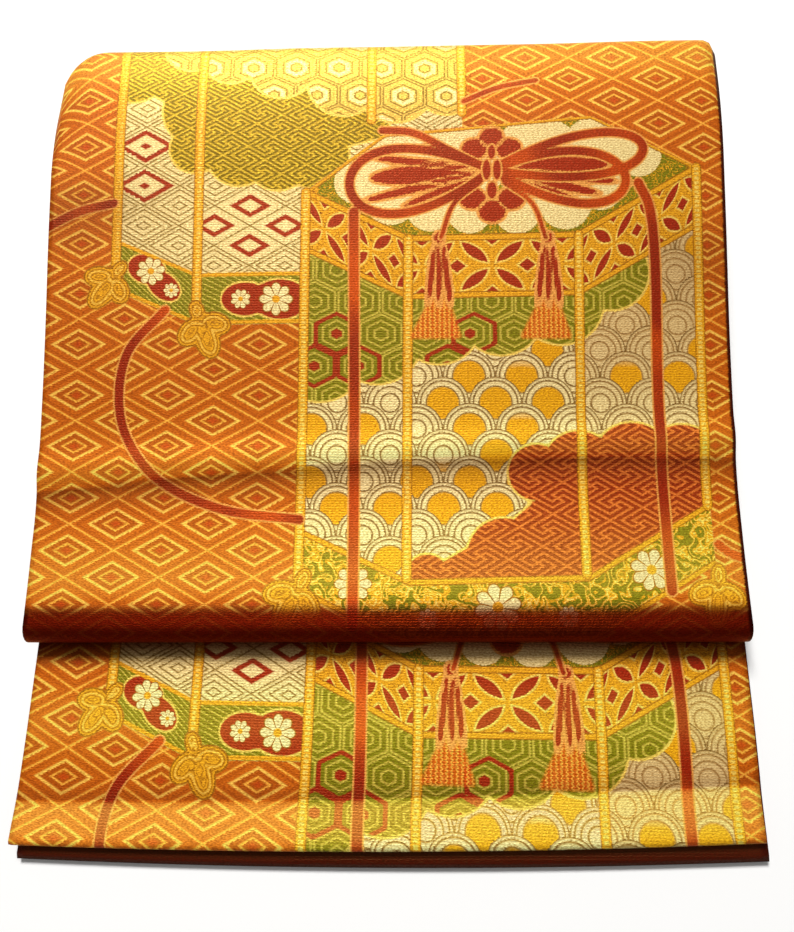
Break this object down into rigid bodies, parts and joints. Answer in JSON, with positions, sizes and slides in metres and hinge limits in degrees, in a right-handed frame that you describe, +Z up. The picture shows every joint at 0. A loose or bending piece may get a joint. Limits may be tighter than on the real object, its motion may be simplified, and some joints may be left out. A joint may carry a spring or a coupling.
{
  "type": "folded obi sash",
  "caption": "Wide brocade kimono sash folded flat for storage: a strip of plies laid in a Z, with rolled folds and a stepped front lip.",
  "frame": {"origin": "centre of the bounding box's bottom face, on the surface that the folded sash lies on", "axes": "+Z up through the plies, +Y from the front lip to the rear folds, +X to the right along the folds"},
  "size_m": [0.315, 0.3724, 0.0583],
  "materials": {
    "brocade": "orange and gold figured silk brocade, satin ground with metallic weft"
  },
  "bodies": {
    "root": {"obi": "brocade"}
  },
  "joints": []
}
